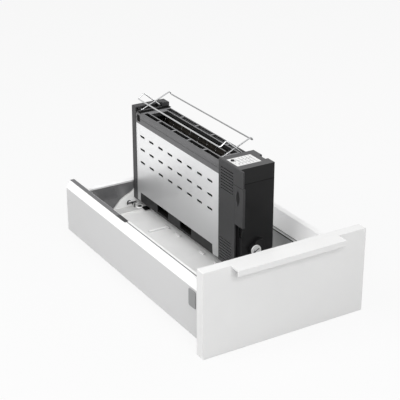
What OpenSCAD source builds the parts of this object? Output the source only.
// Built-in toaster that stands in a narrow kitchen drawer and folds down flat inside it.
// X runs across the drawer to the right, Y from the front to the back, Z up.
// The origin is under the middle of the drawer, on the level of the front panel's lower edge.

/* [Drawer] */
// Width of the drawer front
front_w = 297; // [294:1:320]
// Height of the drawer front
front_h = 145; // [135:1:200]
// Thickness of the drawer front
front_t = 18; // [14:1:24]
// Rounding of the front's outer edges
front_round = 1.2; // [0.5:0.1:3]
// Distance from the front's edge to the outside of a drawer side
side_inset = 13; // [10:1:16]
// Width of the hollow side profile
side_t = 17; // [14:1:17]
// Height of the side profile's outer wall
side_h = 81.5; // [74:0.5:90]
// Height of the inner edge of a side above its outer wall
side_rise = 13; // [8:0.5:14]
// Width of the sloping band between the two
side_slope_w = 7; // [4:0.5:8]
// Height of the side profile's lower edge above the front's lower edge
side_z = 13; // [12.5:0.5:16]
// Sheet thickness of the side profile
side_sheet = 1.4; // [1:0.1:2]
// Thickness of the rear panel
rear_t = 10; // [10:1:12]
// How far the rear panel ends below the outer walls of the sides
rear_drop = 9.5; // [2:0.5:20]
// Thickness of the drawer's bottom board
base_t = 16; // [12:1:18]

/* [Grip] */
// Width of the grip profile
grip_w = 196; // [120:1:240]
// Distance from the front's left edge to the grip profile
grip_x = 48; // [20:1:60]
// How far the grip reaches forward
grip_reach = 20; // [15:1:30]
// Sheet thickness of the grip profile
grip_t = 2.5; // [1.5:0.5:4]
// Height of the grip's turned-down lip
grip_drop = 9.5; // [6:0.5:15]

/* [Insert tray] */
// Wall thickness of the moulded tray
tray_t = 2.5; // [2:0.1:3]
// Height of the tray's low left and front rims above its floor
tray_rim = 10; // [6:1:12]
// Width of the sloping shoulder on the right side
shoulder_w = 15; // [8:1:20]
// Height of the sloping shoulder
shoulder_drop = 23; // [18:1:26]

/* [Toaster body] */
// Width of the toaster
toaster_w = 66; // [62:1:72]
// Length from the front face to the rear end
toaster_len = 353; // [333:1:353]
// Height of the toaster's two ends
toaster_h = 179.8; // [172:0.2:182]
// Distance from the toaster to the drawer's right inner wall
toaster_room = 60; // [56:1:60]
// Distance from the drawer front's back to the toaster's front face
toaster_setback = 106; // [100:1:106]
// Room between the toaster's rear end and the drawer's rear panel
rear_room = 4; // [4:0.5:40]
// Height of the toaster above the tray floor
toaster_lift = 18.7; // [18:0.1:24]
// Length of the control end
control_len = 60.5; // [58:0.5:64]
// Depth of the rear end cap
cap_len = 13.5; // [13.5:0.5:20]
// Wall thickness of the moulded covers
wall = 2.2; // [1.8:0.1:2.6]

/* [Steel panels and top] */
// Thickness of the steel panels
panel_t = 0.8; // [0.6:0.1:1]
// Depth of the panels behind the faces of the two ends
panel_inset = 0.8; // [0.5:0.1:1.2]
// How far the panels end below the toaster's ends
panel_drop = 27.8; // [26:0.2:34]
// Length of a vent slot
vent_len = 16.5; // [10:0.5:20]
// Height of a vent slot
vent_h = 4; // [3:0.1:5]
// Distance from one vent slot to the next in a row
vent_pitch = 32.6; // [26:0.1:33]
// Distance between the rows of vent slots
vent_row_pitch = 24.8; // [15:0.1:28]
// Distance from the panels' upper edge to the top row of vent slots
vent_drop = 22.1; // [15:0.1:40]
// Height of the cut-out at the foot of the panels
foot_cut_h = 19; // [14:0.5:22]
// Width of a top rail
rail_w = 5; // [4:0.5:6]
// How far the top rails end below the toaster's ends
rail_drop = 7.5; // [7:0.1:12]
// Width of the bread slot in the grille
slot_w = 33; // [30:0.5:33.5]
// Width of the strips of windows beside the bread slot
window_w = 8; // [4:0.5:8]
// Thickness of the grille
grille_t = 2.5; // [2:0.1:3]

/* [Folding] */
// Distance from the toaster's left face to the pivot axis
pivot_x = 37; // [36:0.5:39]
// Height of the pivot axis above the toaster's underside
pivot_z = 45; // [44:0.1:46]
// Radius of the pivot pins
pivot_r = 4; // [3:0.1:5]
// Radius of the round lug at the front pivot
lug_r = 9.3; // [8:0.1:12]
// Thickness of the front bracket
front_bracket_t = 5.8; // [4:0.1:6]
// Thickness of the rear bracket
rear_bracket_t = 3.5; // [3:0.1:3.5]

/* [Bun rack] */
// Radius of the rack wire
wire_r = 1.2; // [1:0.1:1.4]
// Bending radius of the rack wire
wire_bend = 3; // [2.6:0.1:3.1]
// Distance between the legs of the two frames
rack_nest = 4; // [3.5:0.5:6]

/* [Bread lift] */
// Travel of the bread lift
lift_travel = 50; // [30:1:50]
// Height of the bread carriage's upper edge with the lift up
carriage_z = 78; // [76:0.5:82]
// Height of the lever flag
lever_h = 66.6; // [56:0.1:66.6]
// How far the lever and the cover's wing stand in front of the front face
wing_reach = 10.5; // [8:0.5:12]

/* [Crumb tray] */
// Length of the crumb tray
crumb_len = 236; // [180:1:236]
// Height of the crumb tray's rim
crumb_h = 5; // [4:0.5:6]

/* [Runners] */
// Width of the runner profiles
runner_w = 24; // [22:0.5:30]
// Length of the runner profiles
runner_len = 450; // [300:1:460]
// Sheet thickness of the runner profiles
runner_t = 1.5; // [1.2:0.1:1.5]
// Radius of the screw holes in the cabinet profiles
rail_hole_r = 2.5; // [2:0.1:3]
// Distance between the two screw holes in a cabinet profile
rail_hole_pitch = 384; // [192:32:416]

/* [Clearances] */
// Radial clearance of pins and rods in their bores
pin_play = 0.06; // [0.02:0.01:0.09]
// Gap between pieces that slide or swing past each other
slide_play = 0.4; // [0.3:0.05:0.5]
// Gap between fixed pieces that are set against each other
seat_gap = 0.1; // [0.05:0.05:0.15]

/* [Hidden] */

// Faces of a full circle, of a small hole and of a wire
round_fn = 64;
hole_fn = 32;
wire_fn = 24;
// Overrun of every cut past the face that it opens
cut = 1;

// Colours
WHITE = [0.93, 0.93, 0.92];
SILVER = [0.78, 0.78, 0.77];
BLACK = [0.1, 0.1, 0.105];
CHARCOAL = [0.26, 0.26, 0.27];
GREY = [0.62, 0.63, 0.64];
STEEL = [0.7, 0.71, 0.72];
PALE = [0.86, 0.86, 0.85];
MICA = [0.62, 0.56, 0.44];
COPPER = [0.72, 0.45, 0.25];

// Drawer places, measured from the front's lower left corner at its front face
side_len = toaster_setback + toaster_len + rear_room + rear_t;
drawer_len = grip_reach + front_t + side_len;
inner_x = side_inset + side_t;
inner_w = front_w - 2 * inner_x;
side_y = front_t;
side_top = side_z + side_h;
side_crest = side_top + side_rise;
rear_y = side_y + side_len - rear_t;
ledge_w = 12;
base_z = side_z + side_sheet;
base_top = base_z + base_t;
floor_z = base_top + tray_t + seat_gap;
rear_top = side_top - rear_drop;
tray_y = side_y + seat_gap;
tray_len = rear_y - side_y - 2 * seat_gap;
tray_right = inner_x + inner_w - seat_gap;
tray_left = inner_x + seat_gap;

// Toaster place in the drawer, and the heights of its seams
toaster_x = inner_x + inner_w - toaster_room - toaster_w;
toaster_y = side_y + toaster_setback;
toaster_z = floor_z + toaster_lift;
body_y = control_len;
body_end = toaster_len - cap_len;
body_len = body_end - body_y;
centre_x = toaster_w / 2;
panel_top = toaster_h - panel_drop;
rail_top = toaster_h - rail_drop;
seam_drop = 26.5;
seam_z = toaster_h - seam_drop;
wing_h = 29.5;
wing_z = toaster_h - wing_h;
lever_z = wing_z - slide_play - lever_h;

// Moves a shape from the front's corner to the part's own origin
module place() {
    translate([-front_w / 2, grip_reach - drawer_len / 2, 0]) children();
}

// Moves a shape from the toaster's own lower front left corner into the drawer
module in_toaster() {
    place() translate([toaster_x, toaster_y, toaster_z]) children();
}

// Mirrors a shape to the toaster's right side
module right_side() {
    translate([toaster_w, 0, 0]) mirror([1, 0, 0]) children();
}

// Mirrors a shape to the drawer's right side
module drawer_right() {
    translate([front_w, 0, 0]) mirror([1, 0, 0]) children();
}

// A flat shape drawn in Y and Z and given a thickness along X
module plate_yz(x, t) {
    translate([x, 0, 0]) rotate([90, 0, 90]) linear_extrude(t) children();
}

// A flat shape drawn in X and Z and given a thickness along Y
module plate_xz(y, t) {
    translate([0, y + t, 0]) rotate([90, 0, 0]) linear_extrude(t) children();
}

// A block between two opposite corners
module block(a, b) {
    translate(a) cube(b - a);
}

// A flat oblong with round ends, centred
module oblong(len, h) {
    square([len - h, h], center = true);
    for (s = [-1, 1]) translate([s * (len - h) / 2, 0]) circle(d = h, $fn = hole_fn);
}

// A flat rectangle with round corners
module round_rect(w, h, r) {
    translate([r, 0]) square([w - 2 * r, h]);
    translate([0, r]) square([w, h - 2 * r]);
    for (x = [r, w - r], y = [r, h - r]) translate([x, y]) circle(r = r, $fn = hole_fn);
}

// A rod along Y
module rod_y(x, y, z, r, len, fn = round_fn) {
    translate([x, y, z]) rotate([-90, 0, 0]) cylinder(r = r, h = len, $fn = fn);
}

// A bent wire through a list of points, with round bends that each straight run enters a little
wire_lap = 0.15;
elbow_swell = 1.02;
function unit(v) = v / norm(v);
function turn_of(a, b) = acos(max(-1, min(1, a * b)));

module straight(a, b, r) {
    d = b - a;
    l = norm(d);
    axis = cross([0, 0, 1], d);
    turn = acos(d[2] / l);
    translate(a)
        rotate(a = turn, v = norm(axis) > 0 ? axis : [1, 0, 0])
            cylinder(r = r, h = l, $fn = wire_fn);
}

module elbow(p, d1, d2, r, bend) {
    turn = turn_of(d1, d2);
    start = p - d1 * bend * tan(turn / 2);
    n = unit(d2 - d1 * (d1 * d2));
    c = start + n * bend;
    z = cross(-n, d1);
    multmatrix([
        [-n[0], d1[0], z[0], c[0]],
        [-n[1], d1[1], z[1], c[1]],
        [-n[2], d1[2], z[2], c[2]],
        [0, 0, 0, 1]
    ])
        rotate_extrude(angle = turn, $fn = round_fn)
            translate([bend, 0]) circle(r = r * elbow_swell, $fn = wire_fn);
}

module wire(points, r, bend) {
    n = len(points);
    dirs = [for (i = [0:n - 2]) unit(points[i + 1] - points[i])];
    trims = [for (i = [0:n - 1])
        i == 0 || i == n - 1 ? 0 : bend * tan(turn_of(dirs[i - 1], dirs[i]) / 2)];
    laps = [for (i = [0:n - 1]) i == 0 || i == n - 1 ? 0 : wire_lap];
    for (i = [0:n - 2])
        straight(points[i] + dirs[i] * (trims[i] - laps[i]),
                 points[i + 1] - dirs[i] * (trims[i + 1] - laps[i + 1]), r);
    for (i = [1:n - 2]) elbow(points[i], dirs[i - 1], dirs[i], r, bend);
}

// Cabinet profiles, middle profiles and drawer profiles of the concealed runners
runner_x = inner_x + ledge_w + slide_play;
runner_y = side_y + slide_play;
rail_wall_share = 0.55;
rail_lip_share = 0.2;
rail_wall_h = base_z * rail_wall_share;
rail_lip = runner_w * rail_lip_share;
gap_z = slide_play;
mid_flange_z = runner_t + gap_z;
mid_web_w = 2;
mid_inset = runner_t + gap_z;
member_lip_z = rail_wall_h + gap_z;
mid_top_z = base_z - runner_t - gap_z;
mid_top_inset = 2 * runner_t + gap_z;

module runner_rail() {
    difference() {
        translate([runner_x, runner_y, 0]) difference() {
            cube([runner_w, runner_len, rail_wall_h]);
            translate([runner_t, -cut, runner_t])
                cube([runner_w - 2 * runner_t, runner_len + 2 * cut, rail_wall_h - 2 * runner_t]);
            translate([rail_lip, -cut, runner_t])
                cube([runner_w - 2 * rail_lip, runner_len + 2 * cut, rail_wall_h]);
        }
        for (side = [-1, 1])
            translate([runner_x + runner_w / 2,
                       runner_y + (runner_len + side * rail_hole_pitch) / 2, -cut])
                cylinder(r = rail_hole_r, h = runner_t + 2 * cut, $fn = hole_fn);
    }
}

module cabinet_rail_left() {
    color(STEEL) place() runner_rail();
}

module cabinet_rail_right() {
    color(STEEL) place() drawer_right() runner_rail();
}

module runner_middle() {
    translate([runner_x, runner_y, 0]) {
        translate([mid_inset, 0, mid_flange_z])
            cube([runner_w - 2 * mid_inset, runner_len, runner_t]);
        translate([(runner_w - mid_web_w) / 2, 0, mid_flange_z])
            cube([mid_web_w, runner_len, mid_top_z - mid_flange_z]);
        translate([mid_top_inset, 0, mid_top_z - runner_t])
            cube([runner_w - 2 * mid_top_inset, runner_len, runner_t]);
    }
}

module runner_middle_left() {
    color(STEEL) place() runner_middle();
}

module runner_middle_right() {
    color(STEEL) place() drawer_right() runner_middle();
}

module runner_member() {
    member_h = base_z - member_lip_z;
    translate([runner_x, runner_y, member_lip_z]) difference() {
        cube([runner_w, runner_len, member_h]);
        translate([runner_t, -cut, runner_t])
            cube([runner_w - 2 * runner_t, runner_len + 2 * cut, member_h - 2 * runner_t]);
        translate([(runner_w - mid_web_w) / 2 - mid_inset, -cut, -cut])
            cube([mid_web_w + 2 * mid_inset, runner_len + 2 * cut, runner_t + 2 * cut]);
    }
}

module runner_member_left() {
    color(STEEL) place() runner_member();
}

module runner_member_right() {
    color(STEEL) place() drawer_right() runner_member();
}

// Drawer front, grip, sides, rear and bottom

module front_panel() {
    color(WHITE) place() difference() {
        plate_xz(0, front_t) round_rect(front_w, front_h, front_round);
        translate([grip_x - seat_gap, -cut, front_h - grip_t - seat_gap])
            cube([grip_w + 2 * seat_gap, front_t / 2 + cut, grip_t + seat_gap + cut]);
    }
}

module grip_lip() {
    color(WHITE) place() translate([grip_x, 0, 0]) rotate([90, 0, 90]) linear_extrude(grip_w)
        union() {
            translate([-grip_reach, front_h - grip_t])
                square([grip_reach + front_t / 2 - seat_gap, grip_t]);
            translate([-grip_reach, front_h - grip_drop]) square([grip_t, grip_drop]);
        }
}

side_round = 1.5;
side_core_round = 0.6;

// A hollow profile whose top slopes up from the outer wall to a flat inner edge
module side_profile() {
    crest_w = side_t - side_slope_w;
    difference() {
        union() {
            square([side_t, side_h]);
            polygon([
                [0, side_h], [side_slope_w, side_h + side_rise],
                [side_t - side_round, side_h + side_rise], [side_t - side_round, side_h]
            ]);
            translate([side_slope_w, side_h]) square([crest_w, side_rise - side_round]);
            translate([side_t - side_round, side_h + side_rise - side_round])
                circle(r = side_round, $fn = hole_fn);
            square([side_t + ledge_w, side_sheet]);
        }
        translate([side_sheet, side_sheet])
            round_rect(side_t - 2 * side_sheet, side_h - 2 * side_sheet, side_core_round);
    }
}

module side_left() {
    color(WHITE) place()
        translate([side_inset, side_y, side_z]) plate_xz(0, side_len) side_profile();
}

module side_right() {
    color(WHITE) place() drawer_right()
        translate([side_inset, side_y, side_z]) plate_xz(0, side_len) side_profile();
}

// The grey cover over the front fixing on the outside of each side
cap_t = 1.2;
cap_y = 24;
cap_w = 20;
cap_z = 49;
cap_h = 29;
cap_round = 3;

module side_cap() {
    translate([side_inset - cap_t, side_y + cap_y, side_z + cap_z])
        plate_yz(0, cap_t) round_rect(cap_w, cap_h, cap_round);
}

module side_cap_left() {
    color(SILVER) place() side_cap();
}

module side_cap_right() {
    color(SILVER) place() drawer_right() side_cap();
}

// A pale rim and a dark strip on the left side's inner edge
rim_t = 0.8;
rim_w = 4.2;
trim_len = 205;
trim_w = 8;
trim_line_w = 1.4;
trim_line_gap = 0.2;
trim_y = side_y + side_len - trim_len;
rim_x = inner_x - seat_gap - rim_w;

module side_rim_left() {
    color(SILVER) place()
        block([rim_x, side_y + seat_gap, side_crest], [rim_x + rim_w, trim_y, side_crest + rim_t]);
}

module side_trim_left() {
    x = inner_x - side_round - trim_w;
    line_x = rim_x - trim_line_gap - trim_line_w;
    color(STEEL) place() {
        block([x, trim_y + trim_line_gap, side_crest],
              [x + trim_w, side_y + side_len, side_crest + rim_t / 2]);
        block([line_x, side_y + seat_gap, side_crest],
              [line_x + trim_line_w, trim_y + trim_line_gap, side_crest + rim_t / 2]);
    }
}

lining_t = 1.2;
lining_drop = 3;

module rear_lining() {
    color(STEEL) place()
        block([inner_x + seat_gap, rear_y, base_top + seat_gap],
              [inner_x + inner_w - seat_gap, rear_y + lining_t, rear_top - lining_drop]);
}

module rear_panel() {
    color(WHITE) place() {
        block([inner_x + seat_gap, rear_y + lining_t + seat_gap, base_top + seat_gap],
              [inner_x + inner_w - seat_gap, rear_y + rear_t, rear_top]);
        block([inner_x + seat_gap, rear_y, rear_top - lining_drop + seat_gap],
              [inner_x + inner_w - seat_gap, rear_y + rear_t, rear_top]);
    }
}

module base_panel() {
    color(WHITE) place()
        block([inner_x + seat_gap, side_y + seat_gap, base_z],
              [inner_x + inner_w - seat_gap, side_y + side_len, base_top]);
}

// Moulded tray that lines the drawer, and a sloping shoulder above its right wall
ridge_h = 2;
ridge_w = 5;
ridge_setback = 240;
ridge_y = toaster_y + ridge_setback;
ridge_gap = 8;
ridge_len = 38;
fin_w = 3;
fin_h = 2.5;
fin_len = 16;
fin_x = toaster_x + 6;
fin_shares = [0.2, 0.33, 0.56, 0.67];
shoulder_z = side_crest - shoulder_drop;
shoulder_x = tray_right - shoulder_w;
flange_out = 1.2;
flange_t = 1;
flange_gap = 0.8;
flange_z = shoulder_z - flange_gap;
shoulder_back = 4;

module side_shoulder_right() {
    color(WHITE) place() plate_xz(tray_y, tray_len)
        polygon([
            [shoulder_x, shoulder_z], [shoulder_x + tray_t, shoulder_z],
            [tray_right, side_crest - shoulder_back], [tray_right, side_crest]
        ]);
}

module tray_outline() {
    polygon([
        [tray_left, base_top], [shoulder_x + tray_t, base_top],
        [shoulder_x + tray_t, flange_z], [shoulder_x - flange_out, flange_z],
        [shoulder_x - flange_out, flange_z - flange_t], [shoulder_x, flange_z - flange_t],
        [shoulder_x, floor_z],
        [tray_left + tray_t, floor_z], [tray_left + tray_t, floor_z + tray_rim],
        [tray_left, floor_z + tray_rim]
    ]);
}

module tray() {
    color(SILVER) place() {
        plate_xz(tray_y, tray_len) tray_outline();
        block([tray_left, tray_y, base_top],
              [shoulder_x + tray_t, tray_y + tray_t, floor_z + tray_rim]);
        block([toaster_x + ridge_gap - ridge_len, ridge_y, floor_z - tray_t],
              [toaster_x + ridge_gap, ridge_y + ridge_w, floor_z + ridge_h]);
        for (s = fin_shares)
            block([fin_x, toaster_y + s * toaster_len, floor_z - tray_t],
                  [fin_x + fin_w, toaster_y + s * toaster_len + fin_len, floor_z + fin_h]);
    }
}

// Pivot brackets, drawn from the pivot axis, with the tray floor below
pivot_h = toaster_lift + pivot_z;
bracket_foot_t = 3;
front_arm_x = 15;
front_arm_turn_z = 30;
front_arm_w = 20;
front_arm_top_z = 48;
front_foot_len = 20;
screw_r = 2;
screw_head_r = 4;
screw_head_h = 2.2;
screw_inset = 5.5;
lug_lean = 20;
bore_wall = 1.5;
knob_at = [-7.7, -7.7];
knob_r = 9;
knob_t = 2;
knob_edge = 1;
knob_slot_r = 4.4;
knob_slot_w = 1.5;

module at_pivot() {
    translate([pivot_x, 0, pivot_z]) children();
}

module front_bracket() {
    y = -slide_play - front_bracket_t;
    right = front_arm_x + front_arm_w;
    color(BLACK) in_toaster() at_pivot() difference() {
        union() {
            plate_xz(y, front_bracket_t) union() {
                circle(r = lug_r, $fn = round_fn);
                translate(knob_at) circle(r = knob_r + knob_edge, $fn = round_fn);
                polygon([
                    [-lug_r * sin(lug_lean), -lug_r * cos(lug_lean)],
                    [lug_r * cos(lug_lean), -lug_r * sin(lug_lean)],
                    [right, -front_arm_top_z], [right, -pivot_h],
                    [front_arm_x, -pivot_h], [front_arm_x, -front_arm_turn_z]
                ]);
            }
            block([front_arm_x, y - front_foot_len, -pivot_h],
                  [right, y + front_bracket_t, -pivot_h + bracket_foot_t]);
        }
        rod_y(0, y + bore_wall, 0, pivot_r + pin_play, front_bracket_t);
        for (x = [front_arm_x + screw_inset, right - screw_inset])
            translate([x, y - front_foot_len / 2, -pivot_h - cut])
                cylinder(r = screw_r, h = bracket_foot_t + 2 * cut, $fn = hole_fn);
    }
}

// The pale disc of the front lock, with a hook-shaped slot
module lock_knob() {
    y = -slide_play - front_bracket_t - seat_gap - knob_t;
    color(SILVER) in_toaster() at_pivot() plate_xz(y, knob_t) translate(knob_at) difference() {
        circle(r = knob_r, $fn = round_fn);
        difference() {
            circle(r = knob_slot_r, $fn = hole_fn);
            circle(r = knob_slot_r - knob_slot_w, $fn = hole_fn);
            translate([0, -knob_slot_r]) square([2 * knob_slot_r, 2 * knob_slot_r]);
        }
    }
}

// Outline of the rear gusset, as shares of the pivot's height, to the left and to the right
gusset_shares = [
    [-1.29, -1], [-1, -0.7], [-0.84, -0.61], [-0.7, -0.56], [-0.59, -0.49], [-0.2, 0.02],
    [0.2, 0.02], [0.5, -0.45], [0.72, -1]
];
rear_lug_r = 12;
window_shares = [-0.64, -0.87];
gusset_window_w = 21;
gusset_window_h = 4.5;
rear_foot_reach = 22;
rear_foot_left = 78;
rear_foot_right = 14;
ring_x = -31;
ring_setback = 11;
ring_r = 5.5;
ring_hole_r = 2.8;
ring_t = 1.5;

module rear_bracket() {
    y = toaster_len + slide_play;
    color(SILVER) in_toaster() at_pivot() difference() {
        union() {
            plate_xz(y, rear_bracket_t) union() {
                circle(r = rear_lug_r, $fn = round_fn);
                polygon([for (s = gusset_shares) s * pivot_h]);
            }
            block([-rear_foot_left, toaster_len - rear_foot_reach, -pivot_h],
                  [-rear_foot_right, y + rear_bracket_t, -pivot_h + bracket_foot_t]);
            translate([ring_x, toaster_len - ring_setback, -pivot_h])
                cylinder(r = ring_r, h = bracket_foot_t + ring_t, $fn = hole_fn);
        }
        rod_y(0, y - cut, 0, pivot_r + pin_play, rear_bracket_t + 2 * cut);
        translate([window_shares[0] * pivot_h, 0, window_shares[1] * pivot_h])
            plate_xz(y - cut, rear_bracket_t + 2 * cut) oblong(gusset_window_w, gusset_window_h);
        translate([ring_x, toaster_len - ring_setback, -pivot_h - cut])
            cylinder(r = ring_hole_r, h = bracket_foot_t + ring_t + 2 * cut, $fn = hole_fn);
    }
}

module bracket_screws() {
    y = -slide_play - front_bracket_t - front_foot_len / 2;
    right = front_arm_x + front_arm_w;
    shank = screw_r - 2 * pin_play;
    color(STEEL) in_toaster() at_pivot()
        for (x = [front_arm_x + screw_inset, right - screw_inset])
            translate([x, y, -pivot_h]) {
                cylinder(r = shank, h = bracket_foot_t, $fn = hole_fn);
                translate([0, 0, bracket_foot_t])
                    cylinder(r = screw_head_r, h = screw_head_h, $fn = hole_fn);
            }
}

pin_depth = 9;

module pivot_pins() {
    front_y = -slide_play - front_bracket_t + bore_wall + seat_gap;
    rear_y_end = toaster_len + slide_play + rear_bracket_t;
    color(STEEL) in_toaster() at_pivot() {
        rod_y(0, front_y, 0, pivot_r, -front_y + pin_depth);
        rod_y(0, toaster_len - pin_depth, 0, pivot_r, rear_y_end - toaster_len + pin_depth);
    }
}

// Steel panels, with three rows of vent slots and a cut-out at the foot
panel_foot = 1.5;
flange_w = 4.5;
vent_rows = 3;
vent_end = 20;
vent_shift = 3.2;
vent_cols = floor((body_len - vent_len - vent_end) / vent_pitch) + 1;
vent_y = body_y + (body_len - (vent_cols - 1) * vent_pitch) / 2 + vent_shift;
foot_cut_front = 20;
foot_cut_rear = 11;
foot_cut_slant = 2;
cut_y = body_y + foot_cut_front;
cut_end = body_end - foot_cut_rear;

module panel_outline() {
    difference() {
        translate([body_y + seat_gap, panel_foot])
            square([body_len - 2 * seat_gap, panel_top - panel_foot]);
        polygon([
            [cut_y - foot_cut_slant, -cut], [cut_y, foot_cut_h],
            [cut_end, foot_cut_h], [cut_end, -cut]
        ]);
        for (i = [0:vent_cols - 1], j = [0:vent_rows - 1])
            translate([vent_y + i * vent_pitch, panel_top - vent_drop - j * vent_row_pitch])
                oblong(vent_len, vent_h);
    }
}

module steel_panel() {
    plate_yz(panel_inset, panel_t) panel_outline();
    block([panel_inset, body_y + seat_gap, panel_top - panel_t],
          [panel_inset + flange_w, body_end - seat_gap, panel_top]);
}

module steel_panel_left() {
    color(STEEL) in_toaster() steel_panel();
}

module steel_panel_right() {
    color(STEEL) in_toaster() right_side() steel_panel();
}

// Base frame, a black trough with two vent windows on each side
base_x = panel_inset + panel_t + seat_gap;
base_wall = 2;
base_over = 2;
base_h = foot_cut_h + base_over;
base_window_len = 38;
base_window_z = 4.5;
base_window_shares = [0.389, 0.674];
crumb_x = base_x + base_wall + slide_play;
crumb_gap = 4;
crumb_y = cut_y + crumb_gap;
crumb_z = base_wall + slide_play;
crumb_wall = 0.8;
crumb_bead = 1.6;

module base_frame() {
    color(BLACK) in_toaster() difference() {
        block([base_x, body_y + seat_gap, 0], [toaster_w - base_x, body_end - seat_gap, base_h]);
        block([base_x + base_wall, body_y + seat_gap + base_wall, base_wall],
              [toaster_w - base_x - base_wall, body_end - seat_gap - base_wall, base_h + cut]);
        for (s = base_window_shares)
            block([0, body_y + s * body_len - base_window_len / 2, base_window_z + crumb_h],
                  [toaster_w, body_y + s * body_len + base_window_len / 2, foot_cut_h]);
        for (s = base_window_shares)
            block([0, body_y + s * body_len - base_window_len / 2, base_window_z],
                  [centre_x, body_y + s * body_len + base_window_len / 2, foot_cut_h]);
        block([centre_x, crumb_y - slide_play, base_wall],
              [toaster_w, crumb_y + crumb_len + slide_play,
               crumb_z + crumb_h + crumb_bead + slide_play]);
    }
}

module crumb_tray() {
    right = toaster_w - panel_inset;
    color(STEEL) in_toaster() {
        difference() {
            block([crumb_x, crumb_y, crumb_z], [right, crumb_y + crumb_len, crumb_z + crumb_h]);
            block([crumb_x + crumb_wall, crumb_y + crumb_wall, crumb_z + crumb_wall],
                  [right - crumb_wall, crumb_y + crumb_len - crumb_wall, crumb_z + crumb_h + cut]);
        }
        block([right - crumb_bead, crumb_y, crumb_z + crumb_h],
              [right, crumb_y + crumb_len, crumb_z + crumb_h + crumb_bead]);
    }
}

// Bun rack places, on the two ends
foot_drop = 4.8;
near_foot_inset = 17;
near_foot_x = toaster_w - near_foot_inset;
far_foot_x = 9;
foot_z = toaster_h - foot_drop;
foot_boss_r = 3.2;
foot_len = 8;
foot_boss_wall = 2;
foot_boss_len = foot_len + foot_boss_wall;

module foot_bosses(y) {
    for (x = [near_foot_x, far_foot_x]) rod_y(x, y, foot_z, foot_boss_r, foot_boss_len, hole_fn);
}

module foot_bores(y) {
    for (x = [near_foot_x, far_foot_x])
        rod_y(x, y - cut, foot_z, wire_r + pin_play, foot_len + 2 * cut, hole_fn);
}

pivot_boss_r = 7.5;
pivot_bore_end = 0.5;
cap_round_r = 1.5;
corner_w = 13.5;
corner_depth = 5;

module rear_end_cap() {
    color(CHARCOAL) in_toaster() difference() {
        union() {
            difference() {
                plate_xz(body_end, cap_len) round_rect(toaster_w, toaster_h, cap_round_r);
                block([wall, body_end - cut, wall],
                      [toaster_w - wall, toaster_len - wall, toaster_h - wall]);
            }
            rod_y(pivot_x, toaster_len - pin_depth - wall, pivot_z,
                  pivot_boss_r, pin_depth + wall / 2);
            plate_xz(body_end - corner_depth, corner_depth + wall) intersection() {
                round_rect(toaster_w, toaster_h, cap_round_r);
                translate([toaster_w - corner_w, rail_top + seat_gap]) square([corner_w, toaster_h]);
            }
            foot_bosses(body_end);
            for (x = [near_foot_x, far_foot_x])
                block([x - foot_boss_r / 2, body_end, foot_z],
                      [x + foot_boss_r / 2, toaster_len - wall / 2, toaster_h - wall / 2]);
        }
        rod_y(pivot_x, toaster_len - pin_depth - pivot_bore_end, pivot_z,
              pivot_r + pin_play, pin_depth + pivot_bore_end + cut);
        foot_bores(body_end);
    }
}

// Control end: a lower housing, a cap above a seam and a cover on the left side
cover_t = 2.5;
cover_x = cover_t + seat_gap;
track_x = 6;
track_len = 12.3;
stem_y = 3;
stem_w = 4;
stem_rise = 27;
stem_z = lever_z + stem_rise;
stem_h = 8;
rod_r = 3;
rod_x = centre_x;
rod_pos_y = 40;
rod_socket_r = 6;
rod_socket_h = 8;
rod_ear_drop = 11.3;
rod_ear_z = seam_z - rod_ear_drop;
rod_ear_h = 4;
arm_w = 4;
arm_h = 6;
arm_play = 1;
gland_inset = 14;
gland_x = toaster_w - gland_inset;
gland_y = 30;
gland_r = 5;

module housing_plan() {
    difference() {
        polygon([
            [track_x, 0], [toaster_w, 0], [toaster_w, control_len], [cover_x, control_len],
            [cover_x, track_len], [track_x, track_len]
        ]);
        polygon([
            [track_x + wall, wall], [toaster_w - wall, wall], [toaster_w - wall, control_len - wall],
            [-cut, control_len - wall], [-cut, track_len + wall], [track_x + wall, track_len + wall]
        ]);
    }
}

module control_housing() {
    color(BLACK) in_toaster() difference() {
        union() {
            linear_extrude(seam_z) housing_plan();
            linear_extrude(wall)
                polygon([
                    [track_x, 0], [toaster_w, 0], [toaster_w, control_len], [cover_x, control_len],
                    [cover_x, track_len], [track_x, track_len]
                ]);
            rod_y(pivot_x, wall / 2, pivot_z, pivot_boss_r, pin_depth + wall / 2);
            translate([rod_x, rod_pos_y, 0])
                cylinder(r = rod_socket_r, h = wall + rod_socket_h, $fn = round_fn);
            block([rod_x - rod_socket_r, rod_pos_y - rod_socket_r, rod_ear_z],
                  [rod_x + rod_socket_r, control_len - wall / 2, rod_ear_z + rod_ear_h]);
        }
        rod_y(pivot_x, -cut, pivot_z, pivot_r + pin_play, pin_depth + pivot_bore_end + cut);
        translate([rod_x, rod_pos_y, wall])
            cylinder(r = rod_r + pin_play, h = seam_z, $fn = round_fn);
        translate([gland_x, gland_y, -cut])
            cylinder(r = gland_r + seat_gap, h = wall + 2 * cut, $fn = hole_fn);
        block([track_x - cut, stem_y - slide_play, stem_z - lift_travel - slide_play],
              [track_x + wall + cut, stem_y + stem_w + slide_play, stem_z + stem_h + slide_play]);
        block([rod_x - arm_w / 2 - arm_play, control_len - wall - cut,
               carriage_z - arm_h - lift_travel - arm_play],
              [rod_x + arm_w / 2 + arm_play, control_len + cut, carriage_z + arm_play]);
    }
}

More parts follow.
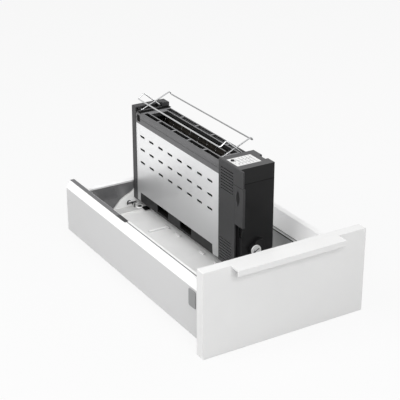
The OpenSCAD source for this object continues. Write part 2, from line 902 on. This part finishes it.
notch_y = 19;
notch_len = 17;
notch_depth = 5;
wheel_r = 13;
wheel_t = 8.5;
wheel_y = notch_y + notch_len / 2;
wheel_proud = 1.5;
wheel_x = toaster_w - notch_depth + wheel_proud - wheel_r;
wheel_gap = 0.3;
spindle_r = 2.5;
spindle_boss_r = 5;
spindle_len = 6;
wheel_z = toaster_h - wall - spindle_len - wheel_t - wheel_gap;
plate_x = 6;
plate_y = 14.5;
plate_w = 44.7;
plate_len = 32.5;
plate_t = 0.8;
plate_sink = 0.6;
key_x = 11.5;
key_ys = [24, 38];
key_r = 2.8;
key_play = 0.3;
key_collar_r = 4;
key_collar_t = 1.5;
key_proud = 1.8;

module key_holes(z, h) {
    for (y = key_ys)
        translate([key_x, y, z]) cylinder(r = key_r + key_play, h = h, $fn = hole_fn);
}

module control_cap() {
    z = seam_z + seat_gap;
    color(BLACK) in_toaster() difference() {
        union() {
            difference() {
                block([cover_x, 0, z], [toaster_w, control_len, toaster_h]);
                block([cover_x + wall, wall, z - cut],
                      [toaster_w - wall, control_len - wall, toaster_h - wall]);
            }
            translate([0, control_len, 0]) mirror([0, 1, 0]) {
                foot_bosses(0);
                for (x = [near_foot_x, far_foot_x])
                    block([x - foot_boss_r / 2, 0, foot_z],
                          [x + foot_boss_r / 2, foot_boss_len, toaster_h - wall / 2]);
            }
            translate([wheel_x, wheel_y, toaster_h - wall - spindle_len])
                cylinder(r = spindle_boss_r, h = spindle_len + wall / 2, $fn = round_fn);
        }
        translate([0, control_len, 0]) mirror([0, 1, 0]) foot_bores(0);
        block([toaster_w - notch_depth, notch_y, wheel_z - slide_play],
              [toaster_w + cut, notch_y + notch_len, toaster_h + cut]);
        translate([wheel_x, wheel_y, wheel_z])
            cylinder(r = spindle_r + pin_play, h = toaster_h - wall - wheel_z + wheel_gap,
                     $fn = round_fn);
        block([plate_x, plate_y, toaster_h - plate_sink],
              [plate_x + plate_w, plate_y + plate_len, toaster_h + cut]);
        key_holes(z, toaster_h);
    }
}

// Louvers of the left cover: a group above and a group below
louver_h = 1.9;
louver_len = 37.5;
louver_pitch = 5.1;
louvers_per_group = 8;
upper_louver_y = 17;
upper_louver_drop = 48;
upper_louver_z = toaster_h - upper_louver_drop;
lower_louver_y = 20.5;
lower_louver_z = 7.5;

module louvers(y, z) {
    for (i = [0:louvers_per_group - 1])
        translate([y + louver_len / 2, z + i * louver_pitch]) oblong(louver_len, louver_h);
}

module control_cover_left() {
    color(CHARCOAL) in_toaster() plate_yz(0, cover_t) difference() {
        union() {
            translate([track_len + seat_gap, 0])
                square([control_len - track_len - seat_gap, toaster_h]);
            translate([-wing_reach, wing_z])
                square([wing_reach + control_len, toaster_h - wing_z]);
        }
        louvers(upper_louver_y, upper_louver_z);
        louvers(lower_louver_y, lower_louver_z);
    }
}

// Lift lever: a flag in line with the wing, with a lens-shaped finger recess
lever_t = 4.5;
recess_h = 28;
recess_w = 10;
recess_depth = 1.8;
recess_y = 3.5;
recess_rise = 47;
recess_z = lever_z + recess_rise;
link_x = 10;

module lens(h, w) {
    r = (h * h + w * w) / (4 * w);
    intersection() {
        translate([r - w / 2, 0]) circle(r = r, $fn = round_fn);
        translate([w / 2 - r, 0]) circle(r = r, $fn = round_fn);
    }
}

module lift_lever() {
    color(CHARCOAL) in_toaster() {
        difference() {
            block([0, -wing_reach, lever_z], [lever_t, track_len - slide_play, wing_z - slide_play]);
            translate([-cut, 0, 0])
                plate_yz(0, recess_depth + cut)
                    translate([recess_y, recess_z]) lens(recess_h, recess_w);
        }
        block([lever_t, stem_y, stem_z], [link_x, stem_y + stem_w, stem_z + stem_h]);
    }
}

// Bread carriage: slider on the guide rod, link to the lever and a ladder under the bread
slider_w = 12;
slider_drop = 3;
slider_z = carriage_z - slider_drop;
rung_w = 15;
rung_t = 2;
rung_pitch = 22;
armature_x = 16;
armature_w = 8;
armature_t = 2.5;
carriage_gap = 2;
carriage_y = body_y + carriage_gap;
carriage_play = 7;
carriage_end = body_end - carriage_play;
rungs = floor((carriage_end - carriage_y - rung_pitch) / rung_pitch);

module bread_carriage() {
    arm_y = rod_pos_y + rod_r + spring_play + spring_wire + slide_play;
    color(STEEL) in_toaster() difference() {
        union() {
            block([link_x + seat_gap, stem_y, stem_z],
                  [rod_x - arm_w / 2, stem_y + stem_w, stem_z + stem_h]);
            block([rod_x - slider_w / 2, stem_y, stem_z],
                  [rod_x - slider_w / 2 + arm_w, rod_pos_y, stem_z + stem_h]);
            block([rod_x - slider_w / 2, rod_pos_y - slider_w / 2, slider_z],
                  [rod_x + slider_w / 2, rod_pos_y + slider_w / 2, stem_z + stem_h]);
            block([armature_x, rod_pos_y - armature_w / 2, slider_z],
                  [rod_x - slider_w / 2, rod_pos_y + armature_w / 2, slider_z + armature_t]);
            block([rod_x - arm_w / 2, arm_y, carriage_z - arm_h],
                  [rod_x + arm_w / 2, carriage_end, carriage_z]);
            for (i = [1:rungs])
                block([rod_x - rung_w / 2, carriage_y + i * rung_pitch, carriage_z - rung_t],
                      [rod_x + rung_w / 2, carriage_y + i * rung_pitch + rung_t, carriage_z]);
        }
        translate([rod_x, rod_pos_y, slider_z - cut])
            cylinder(r = rod_r + pin_play, h = seam_z, $fn = round_fn);
    }
}

module lift_guide_rod() {
    color(STEEL) in_toaster() translate([rod_x, rod_pos_y, wall])
        cylinder(r = rod_r, h = rod_ear_z + 2 * rod_ear_h - wall, $fn = round_fn);
}

spring_play = 0.4;
spring_wire = 1.2;

module lift_spring() {
    z = wall + rod_socket_h + slide_play / 2;
    color(STEEL) in_toaster() translate([rod_x, rod_pos_y, z]) difference() {
        cylinder(r = rod_r + spring_play + spring_wire, h = slider_z - slide_play / 2 - z,
                 $fn = round_fn);
        translate([0, 0, -cut])
            cylinder(r = rod_r + spring_play, h = slider_z, $fn = round_fn);
    }
}

magnet_gap = 1.5;
magnet_core_r = 3;
magnet_yoke_t = 2;

module holding_magnet() {
    top = slider_z - lift_travel - magnet_gap;
    low = armature_x;
    high = rod_x - rod_socket_r - seat_gap;
    y = rod_pos_y - armature_w / 2;
    color(COPPER) in_toaster() {
        block([low, y, wall], [high, y + armature_w, wall + magnet_yoke_t]);
        translate([(low + high) / 2, rod_pos_y, wall])
            cylinder(r = magnet_core_r, h = top - wall, $fn = hole_fn);
        translate([(low + high) / 2, rod_pos_y, wall + 2 * magnet_yoke_t])
            cylinder(r = (high - low) / 2, h = top - wall - 3 * magnet_yoke_t, $fn = hole_fn);
    }
}

board_x = toaster_w - 8;
board_t = 1.6;
board_y = 16;
board_len = 36;
board_z = 14;
board_drop = 13.3;
board_h = seam_z - board_drop - board_z;
spacer_r = 2.5;
spacer_inset = 6;
coil_w = 12;
// Places and sizes of the parts on the board: Y, Z, length, height and thickness, as shares
part_shares = [
    [0.1, 0.02, 0.7, 0.24, 1], [0.15, 0.36, 0.4, 0.16, 0.66], [0.62, 0.36, 0.25, 0.2, 0.5],
    [0.15, 0.62, 0.6, 0.1, 0.3], [0.2, 0.8, 0.3, 0.12, 0.45]
];

module circuit_board() {
    color("darkgreen") in_toaster() {
        block([board_x, board_y, board_z], [board_x + board_t, board_y + board_len, board_z + board_h]);
        for (s = part_shares)
            block([board_x - s[4] * coil_w, board_y + s[0] * board_len, board_z + s[1] * board_h],
                  [board_x, board_y + (s[0] + s[2]) * board_len, board_z + (s[1] + s[3]) * board_h]);
        for (y = [spacer_inset, board_len - spacer_inset], z = [spacer_inset, board_h - spacer_inset])
            translate([board_x + board_t, board_y + y, board_z + z]) rotate([0, 90, 0])
                cylinder(r = spacer_r, h = toaster_w - wall - seat_gap - board_x - board_t,
                         $fn = hole_fn);
    }
}

gland_bore_r = 3.2;
gland_flange_r = 7;
gland_flange_t = 2;
gland_nose = 5;

module cable_gland() {
    color(BLACK) in_toaster() translate([gland_x, gland_y, 0]) difference() {
        union() {
            translate([0, 0, -gland_flange_t - gland_nose])
                cylinder(r = gland_r, h = gland_flange_t + gland_nose + 2 * wall, $fn = round_fn);
            translate([0, 0, -gland_flange_t])
                cylinder(r = gland_flange_r, h = gland_flange_t, $fn = round_fn);
        }
        translate([0, 0, -gland_flange_t - gland_nose - cut])
            cylinder(r = gland_bore_r, h = gland_flange_t + gland_nose + 2 * wall + 2 * cut,
                     $fn = round_fn);
    }
}

// Top rails with a groove and a bevelled outer edge, and the grille between them
rail_x = 0.5;
groove_drop = 11;
groove_z = rail_top - groove_drop;
groove_h = 1.2;
groove_depth = 0.9;
rail_flat = 1;
rail_bevel = rail_w - rail_flat;

module top_rail() {
    plate_xz(body_y + seat_gap, body_len - 2 * seat_gap)
        polygon([
            [rail_x, panel_top], [rail_x + rail_w, panel_top], [rail_x + rail_w, rail_top],
            [rail_x + rail_bevel, rail_top], [rail_x, rail_top - rail_bevel],
            [rail_x, groove_z + groove_h], [rail_x + groove_depth, groove_z + groove_h],
            [rail_x + groove_depth, groove_z], [rail_x, groove_z]
        ]);
}

module rail_left() {
    color(CHARCOAL) in_toaster() top_rail();
}

module rail_right() {
    color(CHARCOAL) in_toaster() right_side() top_rail();
}

grille_x = rail_x + rail_w + seat_gap;
grille_sink = 0.5;
grille_z = rail_top - grille_t - grille_sink;
window_edge = 0.5;
windows = 5;
window_bar = 4.5;
windows_front = 11.5;
windows_rear = 20;
slot_front = 20.5;
slot_rear = 27.5;
slot_y = body_y + slot_front;
slot_len = body_len - slot_front - slot_rear;
collar_t = 1.2;
collar_h = 4;

module grille_outline() {
    pitch = (body_len - windows_front - windows_rear + window_bar) / windows;
    difference() {
        translate([grille_x, body_y + seat_gap])
            square([toaster_w - 2 * grille_x, body_len - 2 * seat_gap]);
        translate([centre_x - slot_w / 2, slot_y]) square([slot_w, slot_len]);
        for (i = [0:windows - 1], side = [0, 1])
            translate([side * toaster_w, body_y + windows_front + i * pitch]) mirror([side, 0])
                translate([grille_x + window_edge, 0]) square([window_w, pitch - window_bar]);
    }
}

module top_grille() {
    color(GREY) in_toaster() {
        translate([0, 0, grille_z]) linear_extrude(grille_t) grille_outline();
        translate([0, 0, grille_z - collar_h]) linear_extrude(collar_h) difference() {
            translate([centre_x - slot_w / 2 - collar_t, slot_y - collar_t])
                square([slot_w + 2 * collar_t, slot_len + 2 * collar_t]);
            translate([centre_x - slot_w / 2, slot_y]) square([slot_w, slot_len]);
        }
    }
}

module control_plate() {
    color(PALE) in_toaster() difference() {
        block([plate_x + seat_gap, plate_y + seat_gap, toaster_h - plate_sink],
              [plate_x + plate_w - seat_gap, plate_y + plate_len - seat_gap,
               toaster_h - plate_sink + plate_t]);
        key_holes(seam_z, toaster_h);
    }
}

// Toasting chamber: end plates, heat shields, heaters and wire guides
plate_sheet = 1.2;
chamber_gap = 1;
chamber_side = 0.8;
chamber_head = 0.5;
chamber_x = panel_inset + panel_t + chamber_side;
chamber_top = grille_z - collar_h - chamber_head;
chamber_z = base_h + seat_gap;
front_plate_y = control_len + chamber_gap;
rear_plate_y = body_end - chamber_gap - plate_sheet;
chamber_y = front_plate_y + plate_sheet + seat_gap;
chamber_end = rear_plate_y - seat_gap;

module chassis_plate(y, slot_top) {
    plate_xz(y, plate_sheet) difference() {
        translate([chamber_x, chamber_z])
            square([toaster_w - 2 * chamber_x, panel_top - panel_t - chamber_z - seat_gap]);
        if (slot_top > 0)
            translate([rod_x - arm_w / 2 - arm_play, chamber_z - cut])
                square([arm_w + 2 * arm_play, slot_top - chamber_z + cut]);
    }
}

module chassis_plate_front() {
    color(STEEL) in_toaster() chassis_plate(front_plate_y, carriage_z + arm_play);
}

module chassis_plate_rear() {
    color(STEEL) in_toaster() chassis_plate(rear_plate_y, 0);
}

shield_x = 6.5;
shield_t = 0.6;

module heat_shield() {
    block([shield_x, chamber_y, chamber_z], [shield_x + shield_t, chamber_end, chamber_top]);
}

module heat_shield_left() {
    color(STEEL) in_toaster() heat_shield();
}

module heat_shield_right() {
    color(STEEL) in_toaster() right_side() heat_shield();
}

heater_x = 13;
heater_t = 1;
heater_gap = 4;
ribbon_w = 2;
ribbon_t = 0.3;
ribbon_pitch = 12;
ribbon_end = 8;

module heater() {
    low = chamber_z + heater_gap;
    high = chamber_top - heater_gap;
    block([heater_x, chamber_y, low], [heater_x + heater_t, chamber_end, high]);
    for (z = [low + heater_gap:ribbon_pitch:high - heater_gap])
        block([heater_x + heater_t, chamber_y + ribbon_end, z],
              [heater_x + heater_t + ribbon_t, chamber_end - ribbon_end, z + ribbon_w]);
}

module heater_left() {
    color(MICA) in_toaster() heater();
}

module heater_right() {
    color(MICA) in_toaster() right_side() heater();
}

guide_r = 0.8;
guide_x = 23.5;
guide_pitch = 28.2;
guide_drop = 2;
guide_top = chamber_top - guide_drop;
guide_flare_z = 16;
guide_flare_x = 6;
guide_bend = 3;
guide_weld = 1.4;
guide_level_shares = [0.02, 0.45, 0.86];
guide_rim = [0.8, -2];
guide_wires = floor((chamber_end - chamber_y - guide_pitch) / guide_pitch) + 1;

module wire_guide() {
    low = chamber_z + heater_gap;
    first = (chamber_y + chamber_end - (guide_wires - 1) * guide_pitch) / 2;
    for (i = [0:guide_wires - 1])
        wire([[guide_x, first + i * guide_pitch, low],
              [guide_x, first + i * guide_pitch, guide_top - guide_flare_z],
              [guide_x - guide_flare_x, first + i * guide_pitch, guide_top]], guide_r, guide_bend);
    for (s = guide_level_shares)
        rod_y(guide_x - guide_weld, chamber_y, low + guide_r + s * (guide_top - low),
              guide_r, chamber_end - chamber_y, wire_fn);
    rod_y(guide_x - guide_flare_x - guide_rim[0], chamber_y, guide_top + guide_rim[1],
          guide_r, chamber_end - chamber_y, wire_fn);
}

module wire_guide_left() {
    color(STEEL) in_toaster() wire_guide();
}

module wire_guide_right() {
    color(STEEL) in_toaster() right_side() wire_guide();
}

// Browning wheel with a fluted rim, and the two keys
flutes = 18;
flute_r = 1.1;

module browning_wheel() {
    color(CHARCOAL) in_toaster() translate([wheel_x, wheel_y, wheel_z]) {
        linear_extrude(wheel_t) difference() {
            circle(r = wheel_r, $fn = round_fn);
            for (i = [0:flutes - 1])
                rotate(i * 360 / flutes) translate([wheel_r, 0]) circle(r = flute_r, $fn = hole_fn);
        }
        cylinder(r = spindle_r, h = wheel_t + wheel_gap + spindle_len, $fn = round_fn);
    }
}

module key(y) {
    top = toaster_h + key_proud;
    collar_top = toaster_h - wall - slide_play / 2;
    translate([key_x, y, 0]) {
        translate([0, 0, collar_top - key_collar_t])
            cylinder(r = key_r, h = top - collar_top + key_collar_t, $fn = round_fn);
        translate([0, 0, collar_top - key_collar_t])
            cylinder(r = key_collar_r, h = key_collar_t, $fn = round_fn);
    }
}

module stop_button() {
    color(BLACK) in_toaster() key(key_ys[1]);
}

module defrost_button() {
    color(PALE) in_toaster() key(key_ys[0]);
}

// Bun rack: two bent wire frames that cross like scissors
near_bend = [-33, 28.8];
near_hook = [-12, -8.3];
far_bend = [57, 24.3];
far_hook = [3.5, -5.8];

module rack_frame(foot_x, bend, hook, inset) {
    y0 = body_y + wire_bend + slide_play + inset;
    y1 = body_end - wire_bend - slide_play - inset;
    wire([
        [foot_x, body_y - foot_len, foot_z],
        [foot_x, y0, foot_z],
        [foot_x + bend[0], y0, foot_z + bend[1]],
        [foot_x + bend[0] + hook[0], y0, foot_z + bend[1] + hook[1]],
        [foot_x + bend[0] + hook[0], y1, foot_z + bend[1] + hook[1]],
        [foot_x + bend[0], y1, foot_z + bend[1]],
        [foot_x, y1, foot_z],
        [foot_x, body_end + foot_len, foot_z]
    ], wire_r, wire_bend);
}

module rack_frame_near() {
    color(STEEL) in_toaster() rack_frame(near_foot_x, near_bend, near_hook, 0);
}

module rack_frame_far() {
    color(STEEL) in_toaster() rack_frame(far_foot_x, far_bend, far_hook, rack_nest);
}

cabinet_rail_left();
cabinet_rail_right();
runner_middle_left();
runner_middle_right();
front_panel();
grip_lip();
side_left();
side_right();
side_cap_left();
side_cap_right();
side_rim_left();
side_trim_left();
side_shoulder_right();
rear_lining();
rear_panel();
base_panel();
runner_member_left();
runner_member_right();
tray();
front_bracket();
lock_knob();
rear_bracket();
bracket_screws();
pivot_pins();
steel_panel_left();
steel_panel_right();
base_frame();
rear_end_cap();
control_housing();
control_cap();
control_cover_left();
rail_left();
rail_right();
top_grille();
control_plate();
chassis_plate_front();
chassis_plate_rear();
heat_shield_left();
heat_shield_right();
heater_left();
heater_right();
wire_guide_left();
wire_guide_right();
circuit_board();
holding_magnet();
lift_guide_rod();
lift_spring();
cable_gland();
lift_lever();
bread_carriage();
browning_wheel();
stop_button();
defrost_button();
crumb_tray();
rack_frame_near();
rack_frame_far();
